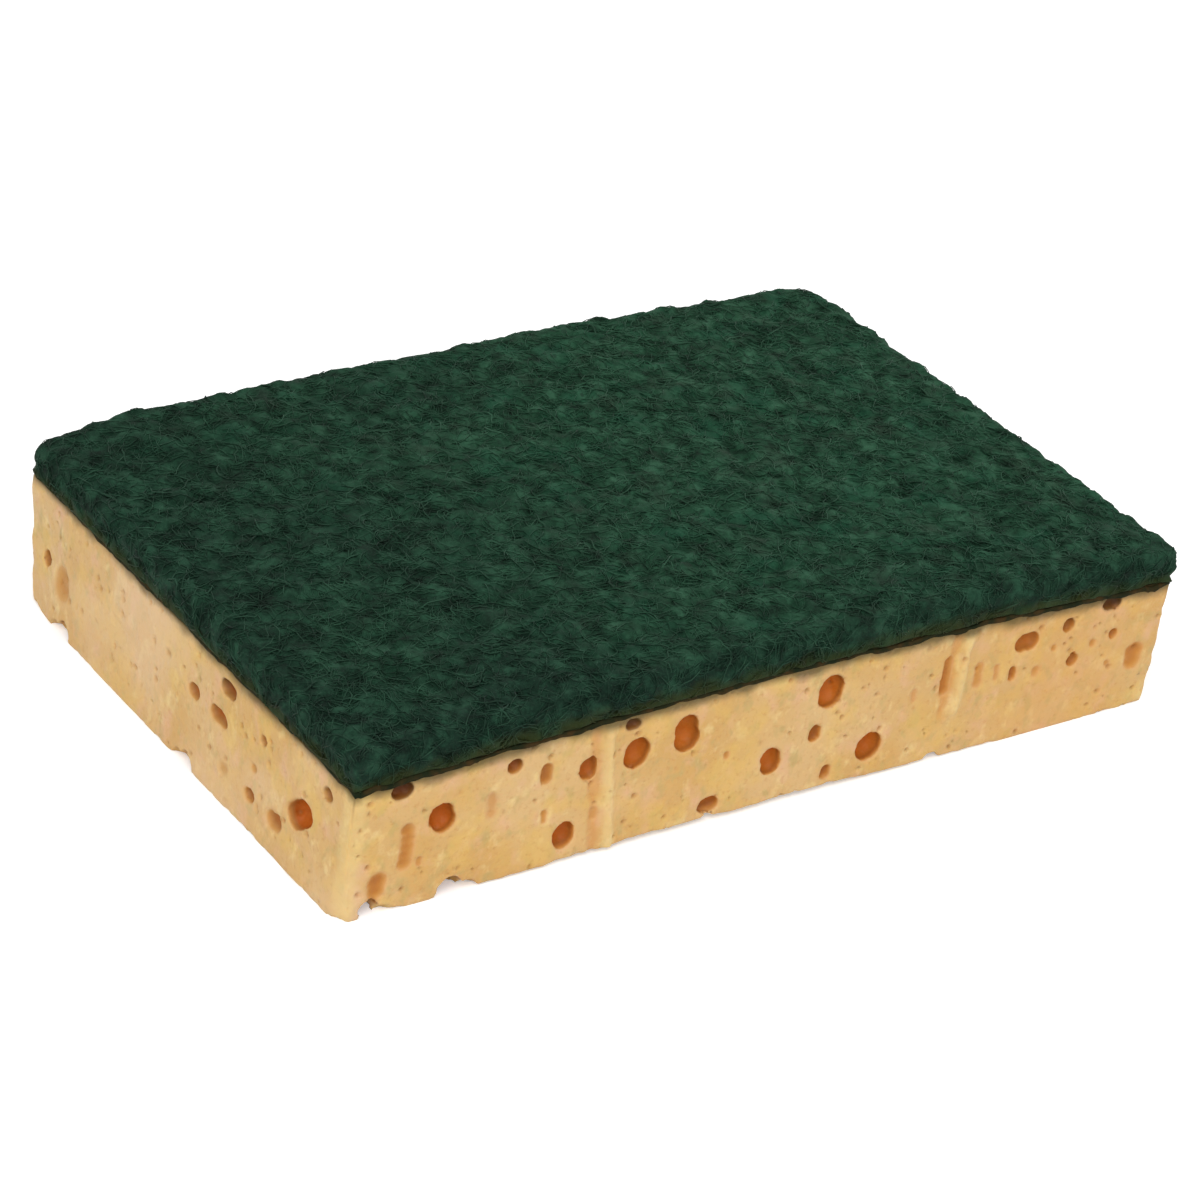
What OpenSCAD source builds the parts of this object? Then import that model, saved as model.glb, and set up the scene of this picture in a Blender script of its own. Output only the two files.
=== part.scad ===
// Cleaning sponge: a block of open-pored foam with a non-woven scouring pad bonded over its upper side.
// Millimetres, +Z up. X runs along the long front edge and Y from the front to the back.
// The origin is at the middle of the base, on the surface that the sponge lies on.

/* [Block] */
// Length of the foam block, along X
block_len = 150; // [120:5:190]
// Width of the foam block, along Y
block_wid = 100; // [80:2:130]
// Height of the foam at its two ends
foam_h = 21.8; // [18:0.2:32]
// Rise of the upper side from the ends to mid length
crown = 2; // [0.5:0.1:4]
// How far both ends lean: the foot of each lies so far to the left of its upper edge
end_lean = 1.2; // [0.4:0.2:4]

/* [Worn corners] */
// Reach of the worn near corner along the front, at the base
worn_front = 2; // [0.5:0.5:6]
// Reach of the worn near corner along the left end, at the base
worn_left = 3.5; // [1:0.5:8]
// Height at which the worn near and far edges run out, as a share of the foam's height
worn_top = 0.9; // [0.5:0.05:0.98]
// Reach of the worn far corner of the left end, along that end
foot_wear_y = 5; // [2:0.5:8]
// Height of the worn far corner of the left end
foot_wear_z = 1.8; // [0.6:0.2:4]
// Reach of the worn far edge of the left end along the back, at the base
far_wear_x = 2; // [0.5:0.5:6]
// Reach of the worn far edge of the left end along that end, at the base
far_wear_y = 2.6; // [0.6:0.2:6]

/* [Pores] */
// Size factor of the pores on the front and on the left end
pore_scale = 1; // [0.7:0.05:1.2]
// Spacing of the pores on the right end, the back and the base
pore_pitch = 10; // [8:0.5:16]
// Smallest pore radius there
pore_r_min = 0.7; // [0.5:0.1:1]
// Largest pore radius there
pore_r_max = 2.7; // [1.5:0.1:3]
// Radius of the raised cell walls on the front
wall_r = 0.8; // [0.5:0.1:1.2]

/* [Scouring pad] */
// Thickness of the scouring pad
pad_t = 6.1; // [4:0.1:9]
// How far the pad reaches past the foam on every side
pad_reach = 0.3; // [0:0.1:1]
// Height of the bumps of the web, to either side of its mean surface
web_relief = 0.4; // [0:0.05:0.6]
// Depth of the pits between the fibre bundles
pit_depth = 0.7; // [0:0.1:1.2]
// Share of the web that is pits
pit_share = 0.09; // [0:0.01:0.2]
// Unevenness of the cut sides
side_wobble = 0.35; // [0:0.05:0.5]
// How far the upper edge is rounded back
edge_round = 0.7; // [0.2:0.1:1.5]
// Reach of the rounded back corners along X
corner_x = 6; // [3:0.5:10]
// Reach of the rounded back left corner along Y
corner_left_y = 2.2; // [1:0.2:8]
// Reach of the rounded back right corner along Y
corner_right_y = 5; // [1:0.5:8]

/* [Bond] */
// Thickness of the adhesive film
bond_t = 0.35; // [0.2:0.05:0.8]
// How far the film stays inside the sides of the foam
bond_inset = 0.3; // [0.1:0.1:1]

/* [Hidden] */
$fn = 32;

half_len = block_len / 2;
half_wid = block_wid / 2;
lean = atan(end_lean / foam_h);
nominal_len = 150;
nominal_wid = 100;
nominal_h = 21.8;

// The crowned joint between foam and pad is made of flat strips, so that three pieces meet on it exactly.
strips = 15;
strip_len = block_len / strips;
stations = [for (s = [0 : strips]) -half_len + s * strip_len];
cols_per_strip = 4;
cols = strips * cols_per_strip;
rows = round(cols * block_wid / block_len);
pad_end = half_len + pad_reach;
pad_side = half_wid + pad_reach;
base_seed = 8;
back_seed = 21;
end_seed = 35;
web_seed = 52;

// Share of the pore's mouth radius that its centre lies behind the face, from a flat dish to a deep cell
dish = -2.2;
saucer = -1.1;
bowl = -0.3;
deep = 0.3;
// Least distance from a scattered pore to the edge of its face
edge_clear = 0.8;

// The hollow of the lower front edge: its slope, in degrees, and how far it runs in under the base
hollow_slope = 4;
hollow_run = 16;
// How far its cutting wedge starts in front of the face
wedge_start = 1;

// Pores of the front at the nominal size: distance from the left end, height, width across,
// height across, kind and, for some, the angle that the pore leans to the left.
front_pores = [
  [8, 20.4, 3.4, 2.6, deep], [5.1, 4.9, 3.8, 5.4, saucer], [9.6, 10.5, 3.2, 8.8, saucer],
  [15.2, 14, 4, 5.2, deep, 15], [12, 7.4, 1.4, 2.2, bowl], [23.6, 13.8, 2.6, 5.4, dish],
  [27, 19.6, 2.5, 2.4, deep], [32.7, 16.7, 2.3, 3.8, bowl], [39.9, 15.8, 2.9, 4, deep, 10],
  [36.9, 4.9, 3.6, 4.6, deep], [33, 9.2, 1.4, 2.8, bowl], [42, 7.4, 2, 3, saucer],
  [48.5, 16.2, 4.2, 5, deep], [47.2, 21.6, 2.6, 1.8, deep], [57.4, 17.4, 4.1, 6.2, deep, 8],
  [65.3, 11.4, 1.4, 1.8, bowl], [63, 3.1, 3.6, 2.8, deep], [73.9, 8.2, 3.8, 4.9, deep],
  [81.7, 11.1, 2.1, 2.9, deep], [83.7, 18.1, 4.4, 5.6, deep], [85, 3.2, 1.7, 2.8, deep],
  [92.7, 5.9, 4.8, 4.9, deep], [100.3, 13.2, 1.6, 3, saucer], [106.3, 15.3, 2, 7.4, bowl],
  [112.7, 13.8, 2.4, 5.2, saucer], [116.2, 13.6, 1.8, 3.8, saucer], [119.7, 12.4, 1.7, 2.8, deep],
  [121.7, 17.6, 4.8, 3.2, deep], [124.6, 11.6, 2, 2.6, saucer], [127.6, 15.2, 1.4, 1.6, bowl],
  [129.9, 18.7, 2.2, 2.5, deep], [132, 11.9, 2.3, 2.4, deep], [135.7, 14.1, 1.4, 1.8, bowl],
  [139.8, 14.9, 1.7, 1.9, deep], [138.3, 20.9, 3.6, 2.2, deep], [139.5, 9.5, 1.5, 1.5, bowl],
  [145, 9.6, 4.1, 5.8, saucer]
];

// Pores of the left end, with the distance measured from the near corner.
left_pores = [
  [6.7, 18, 2.4, 2.1, deep], [13.2, 10.9, 4.5, 7.2, deep, -50], [19.2, 14.1, 3.6, 3, dish],
  [19.5, 6, 4.2, 3.3, bowl], [26.9, 6, 3, 2.3, deep], [24.8, 16.5, 2, 1.7, deep],
  [26.9, 10.6, 1.9, 1.5, bowl], [36, 18.8, 4.2, 2.6, deep], [37.8, 13.2, 5, 2.4, deep],
  [45.5, 13.1, 3, 2.2, deep], [34.6, 6, 3.4, 3, dish], [53.5, 15.2, 2.2, 1.7, saucer],
  [58.7, 9.2, 5.6, 5.2, dish], [79.7, 14, 3.8, 3.2, dish], [87.5, 8.7, 5.6, 7.2, dish],
  [93.8, 9.9, 2.7, 2.6, deep]
];

// Cells cut open by the lower edges: distance, width, height and how far they run in.
front_notches = [
  [4.1, 3.6, 3, 3.6], [6.3, 3.2, 1.5, 1.6], [17.7, 4.6, 3.2, 4.6], [20.6, 4, 1.6, 2],
  [63.2, 3, 1.6, 1.5], [105.8, 3.4, 1.4, 3.4]
];
left_notches = [[45.3, 3.6, 2.8, 3.6], [47.8, 3.8, 1.7, 1.9], [85.6, 3.8, 3.1, 3.8], [88.2, 4, 1.9, 2]];

// Hollow of the lower front edge: distance from the left end and height above the base.
front_hollow = [[20, -0.1], [30, 0.6], [50, 0.9], [85, 0.9], [105, 0.4], [122, -0.1]];

// Height of the joint above the base at x: straight between the stations and past the last one.
function rise(x) = crown * (1 - pow(x / half_len, 2));
function joint_z(x) =
  let (
    s = max(0, min(strips - 1, floor((x + half_len) / strip_len))),
    t = (x - stations[s]) / strip_len
  )
  foam_h + rise(stations[s]) * (1 - t) + rise(stations[s + 1]) * t;

// Sums up a band that follows the joint, from one profile to another, along the whole width.
module along_width(points, depth) {
  rotate([90, 0, 0])
    translate([0, 0, -depth / 2])
      linear_extrude(depth)
        polygon(points);
}

// Faces of the block. Each turns its children so that X runs along the face, Y up it and Z out of it.
module on_front() {
  translate([-half_len, -half_wid, 0]) rotate([90, 0, 0]) children();
}
module on_left() {
  translate([-half_len - end_lean, -half_wid, 0]) rotate([0, lean, 0]) rotate([90, 0, -90]) children();
}
module on_back() {
  translate([half_len, half_wid, 0]) rotate([90, 0, 180]) children();
}
module on_right() {
  translate([half_len - end_lean, -half_wid, 0]) rotate([0, lean, 0]) rotate([90, 0, 90]) children();
}
module on_base() {
  translate([-half_len - end_lean, half_wid, 0]) rotate([180, 0, 0]) children();
}

// One cell of the foam, opened by the face: a bubble, or a row of bubbles that have run together.
module cell(w, h, kind, seed) {
  mouth = min(w, h) / 2;
  spread = abs(w - h);
  last = floor(spread / (0.9 * mouth) + 0.8);
  wobble = rands(-1, 1, 2 * last + 2, seed);
  rotate([0, 0, w > h ? 0 : 90])
    for (b = [0 : last]) {
      share = last == 0 ? 0 : b / last - 0.5;
      m = mouth * (1 + 0.05 * wobble[2 * b]);
      across = last == 0 ? 0 : 0.06 * mouth * wobble[2 * b + 1];
      translate([share * spread, across, -kind * m]) sphere(r = m * sqrt(1 + kind * kind));
    }
}

// Pores of a list, spread with the size of the face. The way is 1 or -1, for the sense of local X.
module listed_pores(list, way, nominal_run, run) {
  for (n = [0 : len(list) - 1]) {
    p = list[n];
    translate([way * p[0] * run / nominal_run, p[1] * foam_h / nominal_h, 0])
      rotate([0, 0, len(p) > 5 ? p[5] : 0])
        cell(p[2] * pore_scale, p[3] * pore_scale, p[4], n + 1);
  }
}

// Cells cut open by a lower edge: bubbles that run in from the face and get smaller.
module notches(list, way, nominal_run, run) {
  for (p = list) {
    r = p[1] / 2;
    steps = ceil(p[3] / r);
    for (s = [0 : steps - 1])
      translate([way * p[0] * run / nominal_run + 0.2 * s, p[2] - r, -s * r * 0.9])
        sphere(r = r * (1 - 0.08 * s));
  }
}

// Pores by rule on a face that runs so far along X and Y: one in each square, moved and sized at random,
// and clear of the edges of the face.
function clear_of_edges(at, size, run) =
  max(size / 2 + edge_clear, min(run - size / 2 - edge_clear, at));
module scattered_pores(run_x, run_y, seed) {
  nx = floor(run_x / pore_pitch);
  ny = floor(run_y / pore_pitch);
  step_x = run_x / nx;
  step_y = run_y / ny;
  chance = rands(0, 1, 6 * nx * ny, seed);
  for (i = [0 : nx - 1], j = [0 : ny - 1]) {
    c = 6 * (i * ny + j);
    r = pore_r_min + (pore_r_max - pore_r_min) * pow(chance[c], 1.8);
    long = 1 + 0.7 * chance[c + 1];
    wide = chance[c + 2] < 0.5;
    kind = chance[c + 3] < 0.3 ? dish : chance[c + 3] < 0.6 ? bowl : deep;
    w = 2 * r * (wide ? long : 1);
    h = 2 * r * (wide ? 1 : long);
    x = clear_of_edges((i + 0.15 + 0.7 * chance[c + 4]) * step_x, w, run_x);
    y = clear_of_edges((j + 0.15 + 0.7 * chance[c + 5]) * step_y, h, run_y);
    translate([x, y, 0]) cell(w, h, kind, seed + c);
  }
}

// A thick cell wall that the saw left standing proud of the front.
module raised_wall(x, z_low, z_high, slant) {
  translate([x * block_len / nominal_len, z_low * foam_h / nominal_h, -0.45 * wall_r])
    rotate([-90, 0, slant])
      cylinder(r = wall_r, h = (z_high - z_low) * foam_h / nominal_h);
}

// The space under the hollow lower edge of the front. It gets lower towards the back.
module hollow_edge() {
  below = -2 * hollow_run * tan(hollow_slope);
  ends = [front_hollow[0][0], front_hollow[len(front_hollow) - 1][0]];
  outline = concat([for (p = front_hollow) p], [[ends[1], below], [ends[0], below]]);
  rotate([-hollow_slope, 0, 0])
    translate([0, 0, -hollow_run])
      scale([block_len / nominal_len, 1, 1])
        linear_extrude(hollow_run + wedge_start)
          polygon(outline);
}

// The half space below a plane that cuts the three edges of a corner so far from it.
module corner_plane(cut) {
  slope = [1 / cut[0], 1 / cut[1], 1 / cut[2]];
  side = 3 * max(cut);
  translate([cut[0], 0, 0])
    rotate([0, acos(slope[2] / norm(slope)), atan2(slope[1], slope[0])])
      translate([-side, -side, -side])
        cube([2 * side, 2 * side, side]);
}

module sponge() {
  outline = concat(
    [[-half_len - end_lean, 0], [half_len - end_lean, 0]],
    [for (s = [strips : -1 : 0]) [stations[s], joint_z(stations[s])]]
  );
  color([0.86, 0.70, 0.47])
  difference() {
    union() {
      along_width(outline, block_wid);
      on_front() {
        raised_wall(45, 0.8, 21, 5);
        raised_wall(108.6, 8, 21, -5);
      }
    }
    on_front() {
      listed_pores(front_pores, 1, nominal_len, block_len);
      notches(front_notches, 1, nominal_len, block_len);
      hollow_edge();
    }
    on_left() {
      listed_pores(left_pores, -1, nominal_wid, block_wid);
      notches(left_notches, -1, nominal_wid, block_wid);
    }
    on_back() scattered_pores(block_len, foam_h, back_seed);
    on_right() scattered_pores(block_wid, foam_h, end_seed);
    on_base() scattered_pores(block_len, block_wid, base_seed);
    translate([-half_len - end_lean, -half_wid, 0])
      corner_plane([worn_front, worn_left, worn_top * foam_h]);
    translate([-half_len - end_lean, half_wid, 0])
      rotate([0, 0, -90]) {
        corner_plane([foot_wear_y, foot_wear_y, foot_wear_z]);
        corner_plane([far_wear_y, far_wear_x, worn_top * foam_h]);
      }
  }
}

// Outline of the pad seen from above, so far inside its edge. Its two back corners are rounded.
function corner_arc(reach_y, side, inset) =
  [for (a = [0 : 15 : 90]) [
    side * (half_len - corner_x + (corner_x - inset) * cos(a)),
    half_wid - reach_y + (reach_y - inset) * sin(a)
  ]];
function reversed(list) = [for (n = [len(list) - 1 : -1 : 0]) list[n]];

module bond_layer() {
  end = half_len - bond_inset;
  low = concat([-end], [for (s = [1 : strips - 1]) stations[s]], [end]);
  outline = concat(
    [for (x = low) [x, joint_z(x)]],
    [for (x = reversed(low)) [x, joint_z(x) + bond_t]]
  );
  plan = concat(
    [[-end, bond_inset - half_wid], [end, bond_inset - half_wid]],
    corner_arc(corner_right_y, 1, bond_inset),
    reversed(corner_arc(corner_left_y, -1, bond_inset))
  );
  color([0.27, 0.14, 0.07])
  intersection() {
    along_width(outline, block_wid);
    linear_extrude(2 * foam_h) polygon(plan);
  }
}

// Back edge of the pad at x, with the two rounded corners.
function back_edge(x) =
  let (
    into = max(0, abs(x) - (pad_end - corner_x)) / corner_x,
    reach_y = x < 0 ? corner_left_y : corner_right_y
  )
  pad_side - reach_y * (1 - sqrt(max(0, 1 - into * into)));

// Place of a grid point of the web in plan. The columns include every station of the joint.
function web_x(i) =
  i == 0 ? -pad_end : i == cols ? pad_end : -half_len + i * strip_len / cols_per_strip;
function web_y(i, j) = -pad_side + (back_edge(web_x(i)) + pad_side) * j / rows;

module scour_pad() {
  count = (cols + 1) * (rows + 1);
  bumps = rands(-1, 1, count, web_seed);
  pits = rands(0, 1, count, web_seed + 1);

  // Walk round the edge of the grid, anticlockwise from above and starting at the near corner.
  rim = concat(
    [for (i = [0 : cols]) [i, 0]],
    [for (j = [1 : rows]) [cols, j]],
    [for (i = [cols - 1 : -1 : 0]) [i, rows]],
    [for (j = [rows - 1 : -1 : 1]) [0, j]]
  );
  turns = len(rim);

  // Rings of the cut side: how far up they are and how far they bulge past the edge.
  ring_up = [0, 0.4, 0.8];
  ring_out = [0, 0.25, 0.1];
  wobble = rands(-side_wobble, side_wobble, turns * (len(ring_up) + 1), web_seed + 2);

  function out_of(i, j) = [i == 0 ? -1 : i == cols ? 1 : 0, j == 0 ? -1 : j == rows ? 1 : 0];
  function plan_of(i, j, out) = [web_x(i), web_y(i, j)] + out * out_of(i, j);
  function is_rim(i, j) = i == 0 || i == cols || j == 0 || j == rows;
  function top_of(i, j) =
    let (
      n = i * (rows + 1) + j,
      pit = pits[n] < pit_share ? pit_depth : 0,
      p = plan_of(i, j, is_rim(i, j) ? -edge_round + side_wobble * bumps[n] : 0)
    )
    [p[0], p[1], joint_z(web_x(i)) + bond_t + pad_t + web_relief * bumps[n] - pit];
  function ring_of(r, k) =
    let (
      ij = rim[k],
      p = plan_of(ij[0], ij[1], ring_out[r] + wobble[r * turns + k])
    )
    [p[0], p[1], joint_z(p[0]) + bond_t + pad_t * ring_up[r]];

  points = concat(
    [for (i = [0 : cols], j = [0 : rows]) top_of(i, j)],
    [for (r = [0 : len(ring_up) - 1], k = [0 : turns - 1]) ring_of(r, k)]
  );

  function top_id(i, j) = i * (rows + 1) + j;
  function ring_id(r, k) =
    r == len(ring_up) ? top_id(rim[k % turns][0], rim[k % turns][1]) : count + r * turns + k % turns;
  // Base points of the front and back edges in a column.
  function front_id(i) = ring_id(0, i);
  function back_id(i) = ring_id(0, 2 * cols + rows - i);

  upper = [for (i = [0 : cols - 1], j = [0 : rows - 1])
    let (a = top_id(i, j), b = top_id(i, j + 1), c = top_id(i + 1, j + 1), d = top_id(i + 1, j))
    each (i + j) % 2 == 0 ? [[a, b, c], [a, c, d]] : [[a, b, d], [b, c, d]]];
  sides = [for (r = [0 : len(ring_up) - 1], k = [0 : turns - 1])
    let (a = ring_id(r, k), b = ring_id(r + 1, k), c = ring_id(r + 1, k + 1), d = ring_id(r, k + 1))
    each [[a, b, c], [a, c, d]]];
  lower = [for (i = [1 : cols - 2])
    each [[front_id(i), front_id(i + 1), back_id(i + 1)], [front_id(i), back_id(i + 1), back_id(i)]]];
  // The two end columns are fans, because every row has a base point along the end.
  right_fan = [for (k = [cols : cols + rows])
    [front_id(cols - 1), ring_id(0, k), ring_id(0, k + 1)]];
  left_fan = [for (k = [2 * cols + rows - 1 : 2 * (cols + rows) - 1])
    [front_id(1), ring_id(0, k), ring_id(0, k + 1)]];

  color([0.14, 0.24, 0.18])
    polyhedron(points, concat(upper, sides, lower, right_fan, left_fan), convexity = 6);
}

sponge();
bond_layer();
scour_pad();
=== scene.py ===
"""Looks of a cleaning sponge: open-pored foam, a non-woven scouring pad and the adhesive between them.

Lengths are in metres, in the part's own frame: X along the front edge, Y to the back and Z up,
from the middle of the base. Names that end in _MM hold millimetres.
"""

import math

import bpy
import numpy as np
from mathutils import Matrix, Vector
from mathutils.bvhtree import BVHTree


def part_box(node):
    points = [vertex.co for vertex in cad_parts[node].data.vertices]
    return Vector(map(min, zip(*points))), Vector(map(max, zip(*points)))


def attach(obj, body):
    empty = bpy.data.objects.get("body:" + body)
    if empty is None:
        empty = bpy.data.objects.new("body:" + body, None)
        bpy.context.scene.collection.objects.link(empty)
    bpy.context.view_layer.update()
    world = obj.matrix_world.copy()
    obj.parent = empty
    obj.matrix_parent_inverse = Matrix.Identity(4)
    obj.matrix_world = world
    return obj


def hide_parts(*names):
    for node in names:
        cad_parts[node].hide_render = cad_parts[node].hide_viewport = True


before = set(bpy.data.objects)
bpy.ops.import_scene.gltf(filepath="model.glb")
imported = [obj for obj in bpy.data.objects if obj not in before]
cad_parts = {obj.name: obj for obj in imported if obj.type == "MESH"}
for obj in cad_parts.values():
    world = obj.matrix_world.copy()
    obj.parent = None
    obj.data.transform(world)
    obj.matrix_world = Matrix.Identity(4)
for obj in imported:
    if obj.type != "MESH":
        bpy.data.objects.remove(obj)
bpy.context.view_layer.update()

MM = 0.001
# Half the foam's length and width at its upper side, and the joint's height at mid length and at the ends
HALF_LEN_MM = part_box("sponge")[1].x / MM
HALF_WID_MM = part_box("sponge")[1].y / MM
JOINT_MID_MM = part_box("sponge")[1].z / MM
JOINT_END_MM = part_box("bond_layer")[0].z / MM

# Camera: where it looks from, and the photograph's focal length in pixels of its 1200-pixel frame.
CAMERA_AZIMUTH = -36.884
CAMERA_ELEVATION = 30.168
CAMERA_ROLL = 7.093
CAMERA_DISTANCE_MM = 654.8
CAMERA_TARGET_MM = (0.691, 0.0, 8.581)
FOCAL_PIXELS = 4112.0
PHOTO_PIXELS = 1200
SENSOR_MM = 36.0

# Foam
FOAM_VOXEL_MM = 0.38
FOAM_TRIANGLES = 192_000
END_LEAN_MM = 1.2
DEEPEST_PORE_MM = 3.0
# Reach along the front or back, along the left end and up, of the worn corners of the left end
WORN_NEAR_MM = (2.0, 3.5, 19.6)
WORN_FAR_MM = (2.0, 2.6, 19.6)
WORN_FOOT_MM = (5.0, 5.0, 1.8)
# The hollow of the lower front edge: x, height above the base, and how it gets lower to the back
HOLLOW_X_MM = (-55.0, -45.0, -25.0, 10.0, 30.0, 47.0)
HOLLOW_Z_MM = (-0.1, 0.6, 0.9, 0.9, 0.4, -0.1)
HOLLOW_SLOPE_DEGREES = 4.0
# Raised cell walls of the front: x at the foot of the block and at the joint, and where they begin.
# A shallow groove runs along the left of each.
RIDGES_MM = ((-30.0, -31.8, 0.8), (33.0, 34.9, 8.0))
RIDGE_HALF_WIDTH_MM = 0.8
RIDGE_HEIGHT_MM = 0.1
GROOVE_LEFT_MM = 2.6
GROOVE_DEPTH_MM = 0.3
# How far the rims of the pores stand out, and the most that anything does
RIM_HEIGHT_MM = 0.12
MOST_OUTWARD_MM = 0.4
# Height above the base up to which nothing stands out
FLAT_FOOT_MM = 0.3
# Unevenness of all faces: height, size and seed of each layer of noise
FOAM_RELIEF_MM = ((0.22, 6.0, 13), (0.12, 2.4, 14), (0.09, 0.9, 15))
# Small bites out of the block's edges
NIBBLE_DEPTH_MM = 0.22
NIBBLE_SIZE_MM = 2.2
# Pits and pinholes: how closely their places are scattered, and the share of the places that holds one
PIT_SPACING_MM = 1.9
PIT_RADIUS_MM = 0.28
PIT_RADIUS_SPREAD_MM = 0.4
PIT_SHARE = 0.4
PIT_DEPTH_MM = 0.5
PINHOLE_SPACING_MM = 1.0
PINHOLE_RADIUS_MM = 0.32
PINHOLE_SHARE = 0.28
PINHOLE_DEPTH_MM = 0.14

# Corners that the photograph shows out of square: the direction, in plan, in which they are moved.
# At the far left corner that is outward, and at the near right one it is inward. A reach is the distance
# from the corner at which the move has faded away.
CORNER_WAY = np.array((-0.8, 0.6, 0.0))
FOAM_CORNER_IN_MM = 0.7
FOAM_CORNER_REACH_MM = 14.0
PAD_CORNER_OUT_MM = 0.7
PAD_CORNER_REACH_MM = 16.0
PAD_CORNER_DROP_MM = 0.5
PAD_DROP_REACH_MM = 9.0
# The near right corner of the pad leans: its moves at these heights above the joint
PAD_LEAN_MM = (0.8, -0.4)
PAD_LEAN_HEIGHTS_MM = (1.0, 5.5)
PAD_LEAN_REACH_MM = 14.0

# Scouring pad
WEB_VOXEL_MM = 0.62
WEB_TRIANGLES = 110_000
TUFT_SPACING_MM = 2.4
TUFT_DEPTH_MM = 0.38
WEB_GRAIN_MM = 0.18
WEB_GRAIN_SIZE_MM = 1.3
# How far the whole skin sinks under the fibres, and the share by which it sinks less at the far sides
WEB_SINK_MM = 0.04
FAR_SIDE_LESS = 0.4
# Where the far rim is raised, in plan, and by how much
BULGE_MM = (-55.0, 48.0)
BULGE_RISE_MM = 0.8
# Share of the waves taken out of the rim, and the length of the average that they are measured from,
# in steps of 1 mm
EVENING_SHARE = 0.85
EVENING_STEPS = 15

# Fibres of the web
FIBRE_PIECES = 3
FIBRES_PER_PIECE = 5200
FIBRE_STEPS = 6
FIBRE_STEP_MM = 1.05
FIBRE_SIDES = 3
FIBRE_RADII_MM = (0.06, 0.105)
FIRST_FIBRE_SEED = 100
# Share of the fibres that are stouter, and how much
STOUT_SHARE = 0.12
STOUT_FACTOR = 1.5
# How high the fibres lie above the skin of the web, how much lower at its far sides, and how far their
# ends dip into it
FIBRE_LIFTS_MM = (-0.28, 0.12)
FIBRE_FAR_DROP_MM = 0.12
FIBRE_DIP_MM = 0.35
# The wave in their height, and its turn from one step to the next, in radians
FIBRE_WAVE_MM = 0.1
FIBRE_WAVE_TURN = 1.7
# Turns in plan from one step to the next, in radians: spread of each fibre's own curl, and of chance
FIBRE_CURL = 0.35
FIBRE_WANDER = 0.4

# Adhesive bead: its section is flatter across and taller upward than its radius says
BEAD_SPACING_MM = 0.45
BEAD_SIDES = 7
BEAD_RADIUS_MM = 0.36
BEAD_SECTION = (0.75, 1.3)
BEAD_SWELLS_MM = ((0.13, 2.0, 33), (0.07, 0.8, 34))
BEAD_DROPS_MM = ((0.35, 3.4, 31), (0.12, 1.1, 32))
BEAD_INWARD_MM = 0.18
# How close to a face of the foam a place of the bead counts as lying along that face
BEAD_BAND_MM = 0.5
BEAD_BELOW_JOINT_MM = 0.05
# How much higher it lies along the left end, and how much lower along the front
BEAD_LEFT_RISE_MM = 0.35
BEAD_FRONT_DROP_MM = 0.1

# Stage: half the side of the floor and the strength of the world's light on the object
FLOOR_HALF_SIDE = 4.0
WORLD_STRENGTH = 0.62
# Soft boxes: name, place, side and power in watts
LAMPS = (
    ("key", (-0.56, -0.65, 0.9), 0.8, 9.2),
    ("fill", (0.9, -0.3, 0.7), 0.9, 2.5),
)

# Sockets of a colour mix: its factor and its two colours, and its result
MIX_INPUTS = (0, 6, 7)
MIX_RESULT = 2


def srgb(red, green, blue):
    """Linear colour, with alpha, from the 0 to 255 values of a picture."""
    def linear(value):
        value /= 255
        return value / 12.92 if value <= 0.04045 else ((value + 0.055) / 1.055) ** 2.4
    return (linear(red), linear(green), linear(blue), 1.0)


# Noise on arrays of points

def smooth_noise(points, size, seed):
    """Smooth noise from -1 to 1 at each point, with features of about that size."""
    period = 32
    table = np.random.default_rng(seed).uniform(-1, 1, (period, period, period))
    scaled = points / size
    cell = np.floor(scaled).astype(np.int64)
    part = scaled - cell
    part = part * part * (3 - 2 * part)
    total = np.zeros(len(points))
    for corner in np.ndindex(2, 2, 2):
        at = (cell + corner) % period
        weight = np.prod(np.where(corner, part, 1 - part), axis=1)
        total += weight * table[at[:, 0], at[:, 1], at[:, 2]]
    return total


def cell_noise(points, size, seed):
    """Distance to the nearest of many scattered centres, and a random number of that centre."""
    period = 24
    rng = np.random.default_rng(seed)
    jitter = rng.uniform(0, 1, (period, period, period, 3))
    label = rng.uniform(0, 1, (period, period, period))
    scaled = points / size
    cell = np.floor(scaled).astype(np.int64)
    nearest = np.full(len(points), np.inf)
    number = np.zeros(len(points))
    for step in np.ndindex(3, 3, 3):
        at = cell + np.array(step) - 1
        wrapped = tuple((at % period).T)
        centre = at + jitter[wrapped]
        distance = np.linalg.norm(scaled - centre, axis=1)
        closer = distance < nearest
        nearest = np.where(closer, distance, nearest)
        number = np.where(closer, label[wrapped], number)
    return nearest * size, number


def layered_noise(points, layers):
    """Layers of smooth noise added up, each given as its height, size and seed."""
    return sum(height * smooth_noise(points, size, seed) for height, size, seed in layers)


def smoothstep(low, high, value):
    """0 at low, 1 at high and a smooth rise between them; low may be the larger one."""
    part = np.clip((value - low) / (high - low), 0, 1)
    return part * part * (3 - 2 * part)


# Meshes

def new_object(name, mesh):
    """A new object in the scene, with that mesh, lamp or camera."""
    made = bpy.data.objects.new(name, mesh)
    bpy.context.scene.collection.objects.link(made)
    return made


def with_modifier(made, kind, **settings):
    """Puts the result of one modifier in place of the object's mesh."""
    modifier = made.modifiers.new(kind.title(), kind)
    for key, value in settings.items():
        setattr(modifier, key, value)
    graph = bpy.context.evaluated_depsgraph_get()
    result = bpy.data.meshes.new_from_object(made.evaluated_get(graph))
    old = made.data
    made.modifiers.clear()
    made.data = result
    bpy.data.meshes.remove(old)


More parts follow.
